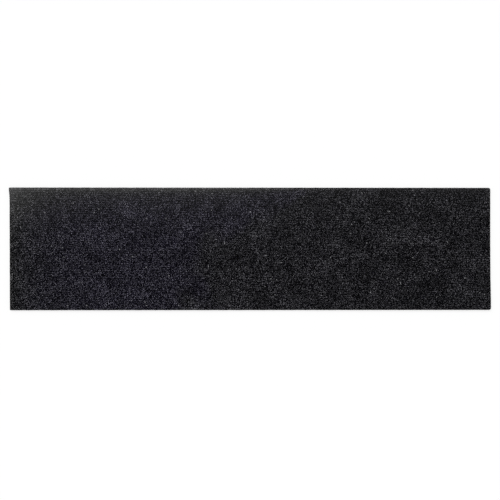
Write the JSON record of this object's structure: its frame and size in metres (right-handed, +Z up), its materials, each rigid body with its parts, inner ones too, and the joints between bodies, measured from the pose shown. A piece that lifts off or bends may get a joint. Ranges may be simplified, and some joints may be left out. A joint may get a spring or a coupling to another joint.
{
  "type": "anti slip stair tread mat",
  "caption": "Long flat rectangular tread mat: fine-ribbed charcoal needle felt bonded to a rubber backing that grips the stair.",
  "frame": {"origin": "middle of the underside, on the surface that the mat lies on", "axes": "+X along the length of the tread, +Y back towards the riser, +Z up out of the walking face"},
  "size_m": [0.75, 0.19, 0.0055],
  "materials": {
    "needle_felt": "matte",
    "backing_rubber": "matte"
  },
  "bodies": {
    "root": {"felt_face": "needle_felt", "rubber_backing": "backing_rubber"}
  },
  "joints": []
}
